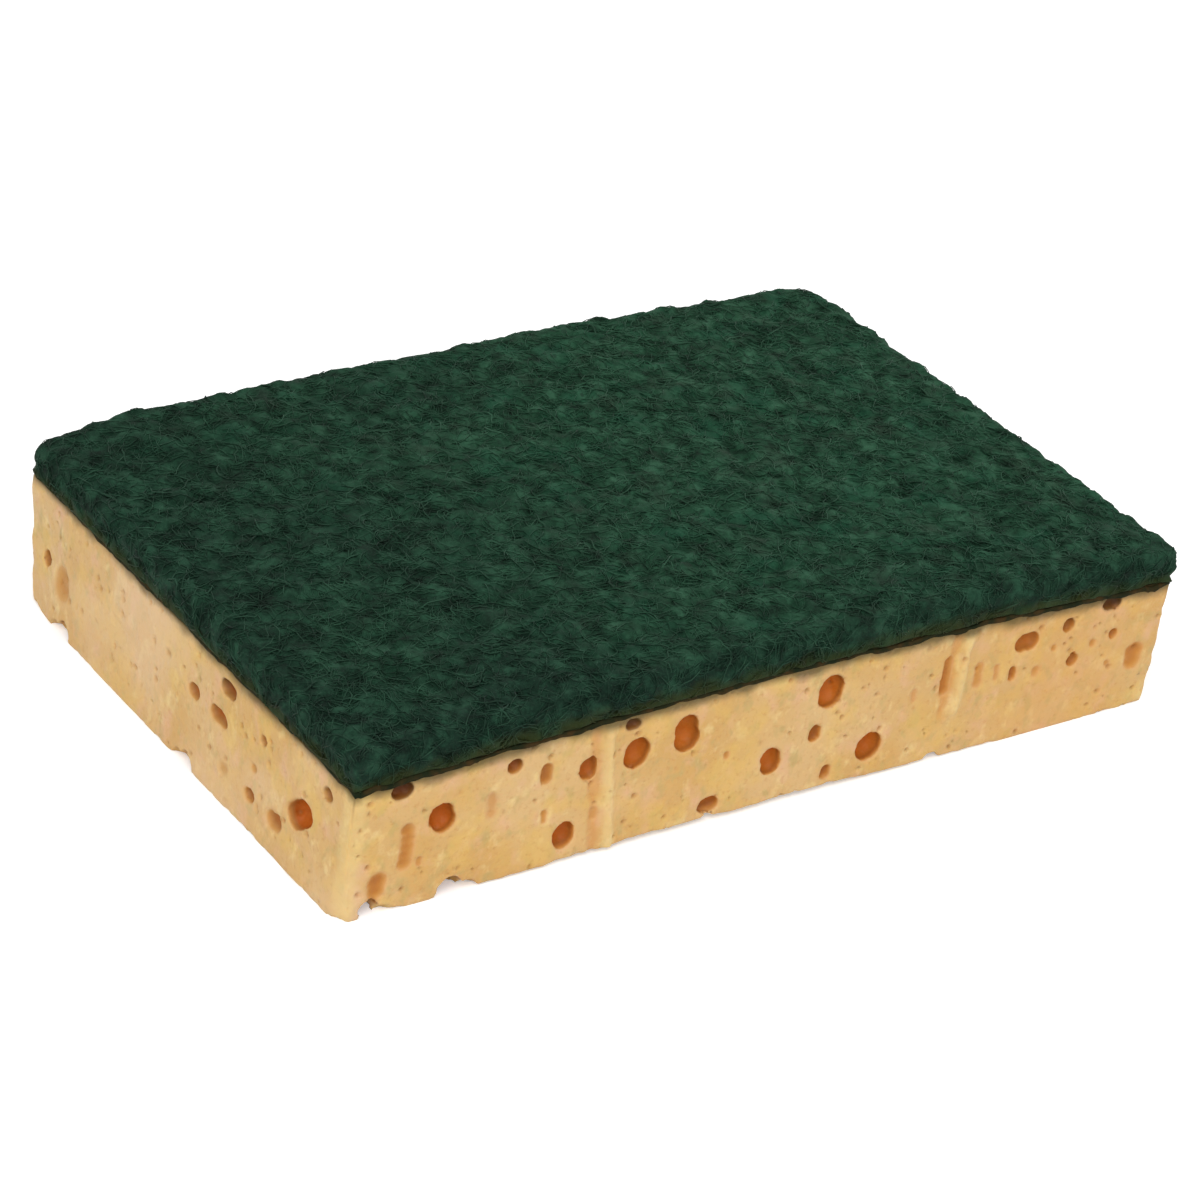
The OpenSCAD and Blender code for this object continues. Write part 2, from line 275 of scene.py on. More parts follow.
def remeshed_copy(node, name, voxel_mm):
    """A new object with an even mesh over the shape of a node of the part."""
    made = new_object(name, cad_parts[node].data.copy())
    made.data.materials.clear()
    with_modifier(made, "REMESH", mode="VOXEL", voxel_size=voxel_mm * MM)
    return made


def vertex_places(mesh):
    """The places of a mesh's vertices, in millimetres."""
    places = np.empty(len(mesh.vertices) * 3)
    mesh.vertices.foreach_get("co", places)
    return places.reshape(-1, 3) / MM


def vertex_normals(mesh):
    normals = np.empty(len(mesh.vertices) * 3)
    mesh.vertices.foreach_get("normal", normals)
    return normals.reshape(-1, 3)


def place_vertices(mesh, places_mm):
    mesh.vertices.foreach_set("co", (places_mm * MM).ravel())
    mesh.update()


def set_attribute(mesh, name, values):
    layer = mesh.attributes.new(name, "FLOAT", "POINT")
    layer.data.foreach_set("value", np.asarray(values, np.float32))


def triangle_count(mesh):
    mesh.calc_loop_triangles()
    return len(mesh.loop_triangles)


def decimate(made, triangles):
    share = triangles / triangle_count(made.data)
    if share < 1:
        with_modifier(made, "DECIMATE", ratio=share)


def shade_smooth(mesh):
    mesh.polygons.foreach_set("use_smooth", np.ones(len(mesh.polygons), bool))


def mesh_from_arrays(name, places_mm, *faces):
    """A mesh of faces, given as arrays of vertex numbers: one array for each number of sides."""
    mesh = bpy.data.meshes.new(name)
    mesh.vertices.add(len(places_mm))
    mesh.vertices.foreach_set("co", (np.asarray(places_mm) * MM).ravel())
    sides = np.concatenate([np.full(len(group), group.shape[1]) for group in faces])
    mesh.loops.add(int(sides.sum()))
    mesh.loops.foreach_set("vertex_index", np.concatenate([group.ravel() for group in faces]))
    mesh.polygons.add(len(sides))
    mesh.polygons.foreach_set("loop_start", np.cumsum(sides) - sides)
    mesh.update(calc_edges=True)
    shade_smooth(mesh)
    return mesh


def blurred(mesh, values, rounds):
    """Values averaged with their neighbours along the mesh's edges."""
    ends = np.empty(len(mesh.edges) * 2, np.int64)
    mesh.edges.foreach_get("vertices", ends)
    a, b = ends.reshape(-1, 2).T
    count = np.bincount(ends, minlength=len(values)) + 1
    for _ in range(rounds):
        around = np.bincount(a, values[b], len(values)) + np.bincount(b, values[a], len(values))
        values = (values + around) / count
    return values


# Materials

class Nodes:
    """A material under construction: add() makes a node and join() links two of them."""

    def __init__(self, name):
        self.material = bpy.data.materials.new(name)
        self.material.use_nodes = True
        self.tree = self.material.node_tree
        self.tree.nodes.clear()
        self.output = self.add("ShaderNodeOutputMaterial")

    def add(self, kind, inputs=None, **settings):
        node = self.tree.nodes.new(kind)
        for key, value in settings.items():
            setattr(node, key, value)
        for key, value in (inputs or {}).items():
            if isinstance(value, bpy.types.NodeSocket):
                self.tree.links.new(value, node.inputs[key])
            else:
                node.inputs[key].default_value = value
        return node

    def join(self, source, target):
        self.tree.links.new(source, target)

    def value(self, attribute):
        return self.add("ShaderNodeAttribute", attribute_name=attribute).outputs["Fac"]

    def place(self):
        """Coordinates in millimetres."""
        where = self.add("ShaderNodeTexCoord").outputs["Object"]
        scale = self.add("ShaderNodeVectorMath", {0: where, 1: (1 / MM,) * 3}, operation="MULTIPLY")
        return scale.outputs[0]

    def stretched(self, place, factors):
        return self.add("ShaderNodeVectorMath", {0: place, 1: factors}, operation="MULTIPLY").outputs[0]

    def noise(self, place, size_mm, detail=2.0, roughness=0.5):
        settings = {"Vector": place, "Scale": 1 / size_mm, "Detail": detail, "Roughness": roughness}
        return self.add("ShaderNodeTexNoise", settings).outputs["Fac"]

    def ramp(self, value, stops):
        """Colours along a value: stops is a list of (place, colour)."""
        node = self.add("ShaderNodeValToRGB", {"Fac": value})
        elements = node.color_ramp.elements
        while len(elements) < len(stops):
            elements.new(0.5)
        for element, (place, colour) in zip(elements, stops):
            element.position = place
            element.color = colour
        return node.outputs["Color"]

    def levels(self, value, low, high):
        """The value stretched so that low gives 0 and high gives 1."""
        inputs = {"Value": value, "From Min": low, "From Max": high}
        return self.add("ShaderNodeMapRange", inputs).outputs["Result"]

    def times(self, value, other):
        return self.add("ShaderNodeMath", {0: value, 1: other}, operation="MULTIPLY").outputs[0]

    def mix(self, factor, first, second):
        node = self.add("ShaderNodeMix", data_type="RGBA")
        for socket, value in zip(MIX_INPUTS, (factor, first, second)):
            if isinstance(value, bpy.types.NodeSocket):
                self.join(value, node.inputs[socket])
            else:
                node.inputs[socket].default_value = value
        return node.outputs[MIX_RESULT]

    def tinted(self, colour, where, share, tint):
        """The colour with a share of the tint in it, where a value between 0 and 1 says."""
        return self.mix(self.times(where, share), colour, tint)

    def mottled(self, colour, layers):
        """The colour with patches on it. Each layer gives the coordinates, the noise (size in
        millimetres, detail, roughness), the levels, the share and the tint."""
        for place, noise, levels, share, tint in layers:
            patches = self.levels(self.noise(place, *noise), *levels)
            colour = self.tinted(colour, patches, share, tint)
        return colour

    def larger(self, value, other):
        return self.add("ShaderNodeMath", {0: value, 1: other}, operation="MAXIMUM").outputs[0]

    def bump(self, height, strength, distance_mm, under=None):
        inputs = {"Height": height, "Strength": strength, "Distance": distance_mm * MM}
        node = self.add("ShaderNodeBump", inputs)
        if under is not None:
            self.join(under, node.inputs["Normal"])
        return node.outputs["Normal"]

    def surface(self, inputs):
        shader = self.add("ShaderNodeBsdfPrincipled", inputs)
        self.join(shader.outputs[0], self.output.inputs["Surface"])
        return self.material


def foam_face_colour(nodes, place):
    """The cut faces: tan with patches of other tones, and with the marks that the mesh carries."""
    streaks = nodes.stretched(place, (1.0, 1.0, 0.75))
    broad = nodes.levels(nodes.noise(place, 14.0), 0.35, 0.65)
    pink = srgb(216, 172, 134)
    khaki = srgb(186, 160, 102)
    pale = srgb(226, 200, 140)
    golden = srgb(216, 178, 96)
    brown = srgb(190, 138, 80)
    colour = nodes.mottled(nodes.mix(broad, srgb(204, 162, 98), srgb(210, 174, 120)), [
        (streaks, (4.2, 3.0), (0.54, 0.7), 0.7, pink),
        (streaks, (2.3, 2.0), (0.56, 0.72), 0.75, khaki),
        (streaks, (3.1, 3.0, 0.6), (0.56, 0.72), 0.7, pale),
        (place, (6.0, 2.0), (0.5, 0.66), 0.5, golden),
        (place, (1.0, 3.0, 0.6), (0.55, 0.75), 0.5, brown),
    ])
    for mark, share, tint in (
        ("faded", 0.55, srgb(224, 192, 152)),
        ("tanned", 0.4, srgb(208, 154, 84)),
        ("rim", 0.6, srgb(228, 190, 136)),
        ("ridge", 0.5, pale),
        # Painted shade: darker brown in the groove beside each raised cell wall
        ("groove", 0.45, srgb(200, 132, 68)),
        ("corner", 0.55, srgb(220, 192, 128)),
    ):
        colour = nodes.tinted(colour, nodes.value(mark), share, tint)
    return colour


def foam_pore_colour(nodes, place):
    """The pores: from tan over brown to orange, the deeper they go. The darkening with depth is painted
    shade in the cells, and the bright orange of the deepest is partly painted glow of light scattered in
    the foam, partly its own orange tone.
    """
    depth = nodes.value("pore")
    colour = nodes.ramp(depth, [
        (0.0, srgb(210, 168, 112)),
        (0.06, srgb(206, 158, 102)),
        (0.13, srgb(194, 138, 70)),
        (0.2, srgb(182, 118, 50)),
        (0.27, srgb(168, 103, 44)),
        (0.36, srgb(154, 91, 32)),
        (0.5, srgb(168, 97, 30)),
        (0.8, srgb(197, 110, 29)),
    ])
    deep = nodes.levels(depth, 0.3, 0.5)
    shallow = nodes.levels(depth, 0.5, 0.25)
    glowing = nodes.levels(nodes.noise(place, 5.0, 2.0), 0.4, 0.6)
    for where, share, tint in (
        # Painted glow: brighter orange in patches of the deep pores
        (nodes.times(glowing, deep), 0.3, srgb(214, 122, 38)),
        (nodes.times(nodes.value("left_part"), deep), 0.3, srgb(172, 70, 14)),
        (nodes.times(nodes.value("left_end"), shallow), 0.35, srgb(194, 158, 98)),
        (nodes.value("right_part"), 0.3, srgb(200, 140, 66)),
    ):
        colour = nodes.tinted(colour, where, share, tint)
    # Dark brown in the pores below the joint: partly adhesive stain, partly painted shade
    return nodes.mix(nodes.value("glue_stain_and_shade"), colour, srgb(60, 30, 10))


def foam_material():
    nodes = Nodes("foam_cells")
    place = nodes.place()
    in_pore = nodes.levels(nodes.value("pore"), 0.01, 0.08)
    colour = nodes.mix(in_pore, foam_face_colour(nodes, place), foam_pore_colour(nodes, place))
    # Painted shade: pits and pinholes tinted darker brown
    colour = nodes.tinted(colour, nodes.value("pit"), 0.5, srgb(176, 116, 62))
    # Dim olive band just below the joint: partly adhesive, partly painted shade under the pad's edge
    colour = nodes.mix(nodes.value("under"), colour, srgb(88, 74, 38))
    fine = nodes.noise(place, 0.35, 3.0, 0.65)
    coarse = nodes.noise(place, 1.3, 2.0)
    normal = nodes.bump(coarse, 0.5, 0.35)
    normal = nodes.bump(fine, 0.5, 0.12, normal)
    return nodes.surface({
        "Base Color": colour,
        "Roughness": nodes.levels(fine, -0.6, 1.6),
        "Specular IOR Level": 0.2,
        "Subsurface Weight": 0.25,
        "Subsurface Radius": (1.0, 0.55, 0.3),
        "Subsurface Scale": 1.2 * MM,
        "Normal": normal,
    })


def web_colour(nodes, place, shade):
    """Green that drifts in brightness and hue from tuft to tuft, with painted shade: a dim copy of it
    where the mesh's painted shade says, and dark specks of painted shade for the hollows between the
    tufts.
    """
    tufts = nodes.levels(nodes.noise(place, 3.4, 4.0, 0.66), 0.33, 0.67)
    lit = nodes.ramp(tufts, [
        (0.0, srgb(6, 32, 18)),
        (0.5, srgb(28, 64, 44)),
        (1.0, srgb(51, 91, 68)),
    ])
    dim = nodes.ramp(tufts, [
        (0.0, srgb(3, 20, 12)),
        (0.5, srgb(14, 40, 28)),
        (1.0, srgb(33, 66, 49)),
    ])
    bluish = srgb(16, 68, 47)
    greyish = srgb(46, 62, 49)
    # Painted shade: the colour of dark specks that stand for the hollows between the tufts
    hollow = srgb(8, 28, 19)
    lit = nodes.mottled(lit, [
        (place, (7.0, 2.0), (0.52, 0.7), 0.5, bluish),
        (place, (5.5, 2.0), (0.55, 0.72), 0.45, greyish),
        (place, (1.7, 1.0), (0.62, 0.72), 0.6, hollow),
    ])
    # Painted shade: the dim copy of the green, where the mesh's painted shade says
    colour = nodes.mix(nodes.value("painted_shade"), lit, dim)
    colour = nodes.tinted(colour, shade, 0.35, srgb(56, 91, 71))
    # Olive along the foot of the pad's cut sides: partly adhesive soaked into it, partly painted shade
    return nodes.tinted(colour, nodes.value("soaked_and_shaded"), 0.7, srgb(46, 51, 14))


def web_material():
    nodes = Nodes("web_ground")
    place = nodes.place()
    strands = nodes.noise(place, 0.4, 4.0, 0.7)
    shade = nodes.levels(strands, 0.5, 0.8)
    normal = nodes.bump(strands, 0.8, 0.3)
    return nodes.surface({
        "Base Color": web_colour(nodes, place, shade),
        "Roughness": nodes.levels(strands, -1.5, 1.2),
        "Specular IOR Level": 0.1,
        "Normal": normal,
    })


def fibre_material():
    nodes = Nodes("web_fibres")
    place = nodes.place()
    shade = nodes.ramp(nodes.value("shade"), [
        (0.0, (0.0, 0.0, 0.0, 1)),
        (0.8, (0.5, 0.5, 0.5, 1)),
        (1.0, (1.0, 1.0, 1.0, 1)),
    ])
    grain = nodes.noise(place, 0.3, 2.0)
    return nodes.surface({
        "Base Color": web_colour(nodes, place, shade),
        "Roughness": nodes.levels(grain, -0.7, 1.5),
        "Specular IOR Level": 0.12,
        "Normal": nodes.bump(grain, 0.3, 0.05),
    })


def adhesive_material():
    nodes = Nodes("dried_adhesive")
    place = nodes.place()
    patches = nodes.noise(place, 2.2, 3.0)
    colour = nodes.ramp(patches, [
        (0.35, srgb(24, 32, 17)),
        (0.5, srgb(38, 37, 19)),
        (0.7, srgb(62, 46, 23)),
    ])
    grain = nodes.noise(place, 0.5, 3.0)
    return nodes.surface({
        "Base Color": colour,
        "Roughness": nodes.levels(grain, -1.6, 1.2),
        "Specular IOR Level": 0.05,
        "Normal": nodes.bump(grain, 0.6, 0.2),
    })


def floor_material():
    """White where the camera sees it, with the object's shadow kept."""
    nodes = Nodes("white_floor")
    path = nodes.add("ShaderNodeLightPath")
    seen = nodes.larger(path.outputs["Is Camera Ray"], path.outputs["Is Glossy Ray"])
    seen = nodes.larger(seen, path.outputs["Is Transmission Ray"])
    diffuse = nodes.add("ShaderNodeBsdfDiffuse", {"Color": (0.9, 0.9, 0.9, 1)})
    lift = nodes.add("ShaderNodeEmission", {"Color": (1, 1, 1, 1), "Strength": nodes.times(seen, 0.3)})
    both = nodes.add("ShaderNodeAddShader", {0: diffuse.outputs[0], 1: lift.outputs[0]})
    nodes.join(both.outputs[0], nodes.output.inputs["Surface"])
    return nodes.material


# The foam block

def joint_height(x):
    """Height of the joint between foam and pad, in millimetres, at x in millimetres."""
    return JOINT_END_MM + (JOINT_MID_MM - JOINT_END_MM) * (1 - (x / HALF_LEN_MM) ** 2)


def past_plane(cuts, along, across, up):
    """Distance behind the plane that cuts a corner's three edges so far from the corner."""
    slopes = 1 / np.array(cuts)
    return (along * slopes[0] + across * slopes[1] + up * slopes[2] - 1) / np.linalg.norm(slopes)


def hollow_height(x, y):
    """Height above the base, at a place in plan, of the hollow of the lower front edge."""
    drop = math.tan(math.radians(HOLLOW_SLOPE_DEGREES)) * (y + HALF_WID_MM)
    return np.maximum(np.interp(x, HOLLOW_X_MM, HOLLOW_Z_MM) - drop, 0)


def face_distances(places):
    """How far each point lies inside the block: from the left, right, front, back, base and joint,
    and from the worn near edge, far edge and far foot of the left end."""
    x, y, z = places.T
    lean = END_LEAN_MM * (1 - z / JOINT_END_MM)
    left = x + HALF_LEN_MM + END_LEAN_MM
    return np.stack([
        x + HALF_LEN_MM + lean,
        HALF_LEN_MM - lean - x,
        y + HALF_WID_MM,
        HALF_WID_MM - y,
        z - hollow_height(x, y),
        joint_height(x) - z,
        past_plane(WORN_NEAR_MM, left, y + HALF_WID_MM, z),
        past_plane(WORN_FAR_MM, left, HALF_WID_MM - y, z),
        past_plane(WORN_FOOT_MM, left, HALF_WID_MM - y, z),
    ])


def beside_ridge(places, side_mm):
    """1 in a band on the front that lies so far to the left of a raised cell wall, and 0 away from it."""
    x, y, z = places.T
    band = np.zeros(len(places))
    for foot, top, begin in RIDGES_MM:
        away = np.abs(x + side_mm - foot - (top - foot) * z / JOINT_END_MM)
        away += 0.5 * smooth_noise(places, 3.0, seed=18)
        share = smoothstep(RIDGE_HALF_WIDTH_MM + 0.6, RIDGE_HALF_WIDTH_MM - 0.6, away)
        band = np.maximum(band, share * smoothstep(begin - 2.0, begin + 1.0, z))
    return band * smoothstep(3.0, 1.5, y + HALF_WID_MM)


def corner_share(places, x_side, y_side, reach_mm):
    """1 close to the block's corner on those sides, falling to 0 at the reach from it."""
    away = np.hypot(places[:, 0] - x_side * HALF_LEN_MM, places[:, 1] - y_side * HALF_WID_MM)
    return smoothstep(reach_mm, 0.15 * reach_mm, away)


def foam_holes(places):
    """How deep each point lies in a pit and in a pinhole, as shares of their depths."""
    away, number = cell_noise(places, PIT_SPACING_MM, seed=11)
    radius = PIT_RADIUS_MM + PIT_RADIUS_SPREAD_MM * (number * 7 % 1)
    pit = smoothstep(1.0, 0.4, away / radius) * (number < PIT_SHARE)
    away, number = cell_noise(places, PINHOLE_SPACING_MM, seed=12)
    pinhole = smoothstep(PINHOLE_RADIUS_MM, 0.1, away) * (number < PINHOLE_SHARE)
    return pit, pinhole


def mark_foam(mesh, places, depth, marks):
    """Writes what the material needs into the mesh, beside the given marks: values between 0 and 1
    at its vertices. Distances are in millimetres."""
    x, y, z = places.T
    below_joint = joint_height(x) - z
    at_left = smoothstep(4.0, 1.0, x + HALF_LEN_MM)
    at_right = smoothstep(25.0, 60.0, x)
    patches = smoothstep(-0.3, 0.7, smooth_noise(places, 9.0, seed=20))
    # Painted shade: pores darker near the top of the left part, where less light reaches them
    shaded = 0.13 * smoothstep(11.0, 6.0, below_joint) * smoothstep(10.0, -30.0, x)
    glued = 0.85 * smoothstep(5.0, 1.5, below_joint)
    wavy = below_joint + 0.5 * smooth_noise(places, 2.5, seed=19) + 0.6 * at_left
    near_edge = np.hypot(face_distances(places)[0], y + HALF_WID_MM)
    near_edge += 0.6 * smooth_noise(places, 3.0, seed=17)
    # The cells that the base cuts open keep the tone of the faces
    above_foot = smoothstep(0.0, 4.0, z)
    marks |= {
        # Depth in the pores, which drives their colour with its painted shade and glow
        "pore": np.clip(depth / DEEPEST_PORE_MM, 0, 1) * above_foot,
        "glue_stain_and_shade": np.maximum(shaded, glued),
        # Dim band below the joint: partly adhesive, partly painted shade under the pad's edge
        "under": 0.9 * smoothstep(2.4, 0.5, wavy),
        "left_end": at_left,
        "left_part": smoothstep(-20.0, -45.0, x),
        "right_part": at_right,
        "faded": at_left * patches,
        "tanned": at_right * (1 - patches),
        "corner": smoothstep(3.0, 1.6, near_edge),
    }
    for name, values in marks.items():
        set_attribute(mesh, name, values)


def make_foam():
    foam = remeshed_copy("sponge", "foam_block", FOAM_VOXEL_MM)
    mesh = foam.data
    places = vertex_places(mesh)
    normals = vertex_normals(mesh)
    inside = np.sort(face_distances(places), axis=0)
    depth = np.maximum(inside[0], 0)
    below_joint = joint_height(places[:, 0]) - places[:, 2]
    under_pad = smoothstep(0.6, 0.2, below_joint) * smoothstep(0.3, 0.1, depth)
    rim = smoothstep(0.06, 0.35, blurred(mesh, depth, 5) - depth) * smoothstep(0.5, 0.2, depth)
    ridge = beside_ridge(places, 0.0)
    groove = beside_ridge(places, GROOVE_LEFT_MM)
    pit, pinhole = foam_holes(places)
    bites = np.maximum(0, smooth_noise(places, NIBBLE_SIZE_MM, seed=16))
    nibble = smoothstep(1.2, 0.2, inside[1]) * NIBBLE_DEPTH_MM * bites

    outward = layered_noise(places, FOAM_RELIEF_MM)
    outward = outward + RIM_HEIGHT_MM * rim + RIDGE_HEIGHT_MM * ridge - GROOVE_DEPTH_MM * groove
    outward -= PIT_DEPTH_MM * pit + PINHOLE_DEPTH_MM * pinhole + nibble
    outward = np.minimum(outward, np.where(places[:, 2] < FLAT_FOOT_MM, 0.0, MOST_OUTWARD_MM))
    outward *= 1 - under_pad
    drawn_in = FOAM_CORNER_IN_MM * corner_share(places, -1, 1, FOAM_CORNER_REACH_MM)
    drawn_in *= smoothstep(20.0, 14.0, places[:, 2])
    moved = places + normals * outward[:, None]
    place_vertices(mesh, moved - drawn_in[:, None] * CORNER_WAY)

    mark_foam(mesh, places, depth, {
        "rim": rim,
        "ridge": ridge,
        "groove": groove * (1 - ridge),
        "pit": np.maximum(pit, 0.4 * pinhole),
    })
    decimate(foam, FOAM_TRIANGLES)
    shade_smooth(foam.data)
    foam.data.materials.append(foam_material())
    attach(foam, "root")
    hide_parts("sponge")


# The scouring pad

def painted_pad_shade(places):
    """Painted shade on the pad, between 0 and 1: most in its left and near parts, and along its near cut
    side.
    """
    x, y, _ = places.T
    left = smoothstep(0.3, -1.2, x / HALF_LEN_MM + 0.4 * smooth_noise(places, 20.0, seed=23))
    near = smoothstep(-0.4, -1.2, y / HALF_WID_MM)
    cut = smoothstep(1.5, 0.0, y + HALF_WID_MM)
    return np.clip(0.9 * left + 0.5 * near + 0.35 * cut, 0, 1)


def soaked_and_shaded(places):
    """How far adhesive has soaked into the pad, together with painted shade along its foot, between 0 and
    1: the lower part of its cut sides.
    """
    above_joint = places[:, 2] - joint_height(places[:, 0])
    return smoothstep(3.2, 0.4, above_joint + smooth_noise(places, 2.4, seed=24))


def far_side(places):
    """1 at the right and the back cut side of the pad, falling to 0 a little way in."""
    away = np.minimum(HALF_LEN_MM - places[:, 0], HALF_WID_MM - places[:, 1])
    return smoothstep(2.5, 0.8, away)


def corner_moves(places):
    """Moves of the pad's far left and near right corners, and of its far rim near the left end."""
    above_joint = places[:, 2] - joint_height(places[:, 0])
    lean = np.interp(above_joint, PAD_LEAN_HEIGHTS_MM, PAD_LEAN_MM)
    right = lean * corner_share(places, 1, -1, PAD_LEAN_REACH_MM)
    left = PAD_CORNER_OUT_MM * corner_share(places, -1, 1, PAD_CORNER_REACH_MM)
    moves = (left + right)[:, None] * CORNER_WAY
    from_bulge = np.hypot(places[:, 0] - BULGE_MM[0], places[:, 1] - BULGE_MM[1])
    rise = BULGE_RISE_MM * smoothstep(16.0, 4.0, from_bulge)
    rise -= PAD_CORNER_DROP_MM * corner_share(places, -1, 1, PAD_DROP_REACH_MM)
    moves[:, 2] += rise * smoothstep(1.0, 5.0, above_joint)
    return moves


def rim_wave(run, heights, steps):
    """How far a rim lies out of its own running average, at each step of 1 mm along it."""
    number = np.floor(run).astype(np.int64) - steps[0]
    count = np.bincount(number, minlength=len(steps))
    total = np.bincount(number, heights, len(steps))
    filled = np.flatnonzero(count)
    line = np.interp(steps, steps[filled], total[filled] / count[filled])
    longer = np.pad(line, EVENING_STEPS // 2, mode="edge")
    return line - np.convolve(longer, np.ones(EVENING_STEPS) / EVENING_STEPS, "valid")


def evening_moves(places, normals):
    """Moves that take most of the waves out of the pad's rim, along each of its four sides."""
    moves = np.zeros_like(places)
    for axis, half in ((0, HALF_LEN_MM), (1, HALF_WID_MM)):
        run = places[:, 1 - axis]
        steps = np.arange(math.floor(run.min()), math.ceil(run.max()) + 1)
        off_corners = smoothstep(-3.0, -12.0, np.abs(run) - np.abs(steps).max())
        for side in (-1, 1):
            inset = half - side * places[:, axis]
            cut_side = (side * normals[:, axis] > 0.8) & (inset < 2.0)
            top = (normals[:, 2] > 0.8) & (inset > 0.5) & (inset < 3.0)
            for chosen, moved, reach in ((cut_side, axis, 4.0), (top, 2, 8.0)):
                wave = rim_wave(run[chosen], places[chosen, moved], steps)
                share = smoothstep(reach, 0.3 * reach, inset) * off_corners
                moves[:, moved] -= EVENING_SHARE * np.interp(run, steps + 0.5, wave) * share
    return moves


def make_web():
    """The pad's ground, with hollows between its tufts. Gives back a mesh of the skin without them."""
    web = remeshed_copy("scour_pad", "web_ground", WEB_VOXEL_MM)
    mesh = web.data
    places = vertex_places(mesh)
    normals = vertex_normals(mesh)
    above_joint = places[:, 2] - joint_height(places[:, 0])
    free = smoothstep(0.6, 1.2, above_joint)
    tuft, number = cell_noise(places, TUFT_SPACING_MM, seed=21)
    hollow = smoothstep(0.6, 1.7, tuft) * (0.4 + 0.8 * number)
    grain = WEB_GRAIN_MM * smooth_noise(places, WEB_GRAIN_SIZE_MM, seed=22)
    sink = WEB_SINK_MM + TUFT_DEPTH_MM * hollow + grain
    sink *= 1 - FAR_SIDE_LESS * far_side(places)
    moved = places + (evening_moves(places, normals) + corner_moves(places)) * free[:, None]
    place_vertices(mesh, moved)
    skin = mesh.copy()
    place_vertices(mesh, moved - normals * (sink * free)[:, None])
    set_attribute(mesh, "painted_shade", painted_pad_shade(places))
    set_attribute(mesh, "soaked_and_shaded", soaked_and_shaded(places))
    decimate(web, WEB_TRIANGLES)
    shade_smooth(web.data)
    web.data.materials.append(web_material())
    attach(web, "root")
    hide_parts("scour_pad")
    return skin


def surface_samples(mesh, count, rng):
    """Points spread evenly over the pad's upper side and its cut sides."""
    mesh.calc_loop_triangles()
    corners = np.empty(len(mesh.loop_triangles) * 3, np.int64)
    mesh.loop_triangles.foreach_get("vertices", corners)
    places = vertex_places(mesh)[corners.reshape(-1, 3)]
    cross = np.cross(places[:, 1] - places[:, 0], places[:, 2] - places[:, 0])
    area = np.linalg.norm(cross, axis=1) / 2
    underside = cross[:, 2] < -area
    area[underside] = 0
    chosen = rng.choice(len(area), count, p=area / area.sum())
    u, v = rng.random((2, count))
    flip = u + v > 1
    u, v = np.where(flip, 1 - u, u), np.where(flip, 1 - v, v)
    a, b, c = places[chosen].transpose(1, 0, 2)
    return a + (b - a) * u[:, None] + (c - a) * v[:, None]


def settle(tree, places):
    """The nearest surface point and the surface's direction there, for each place."""
    on, facing = np.empty_like(places), np.empty_like(places)
    for n, place in enumerate(places):
        near, normal, _, _ = tree.find_nearest(Vector(place) * MM)
        on[n] = np.array(near) / MM
        facing[n] = normal
    return on, facing


def unit(vectors):
    tiny = 1e-9
    return vectors / np.maximum(np.linalg.norm(vectors, axis=-1, keepdims=True), tiny)


def tubes(centres, normals, radii, sides):
    """Closed tubes along rows of centres, which are shaped (tubes, rings, 3). Gives back their points,
    the faces of their sides and the faces of their ends."""
    count, rings, _ = centres.shape
    along = unit(np.gradient(centres, axis=1))
    across = unit(np.cross(along, normals))
    up = np.cross(across, along)
    turn = np.arange(sides) * 2 * math.pi / sides
    ring = across[:, :, None] * np.cos(turn)[:, None] + up[:, :, None] * np.sin(turn)[:, None]
    places = centres[:, :, None] + ring * radii[:, :, None, None]
    first = (np.arange(count) * rings * sides)[:, None, None]
    k = (np.arange(rings - 1) * sides)[None, :, None]
    s = np.arange(sides)[None, None, :]
    t = (s + 1) % sides
    low_s, low_t = first + k + s, first + k + t
    quads = np.stack([low_s, low_s + sides, low_t + sides, low_t], axis=-1).reshape(-1, 4)
    first_cap = np.arange(count)[:, None] * rings * sides + np.arange(sides)
    last_cap = first_cap[:, ::-1] + (rings - 1) * sides
    return places.reshape(-1, 3), quads, np.concatenate([first_cap, last_cap])


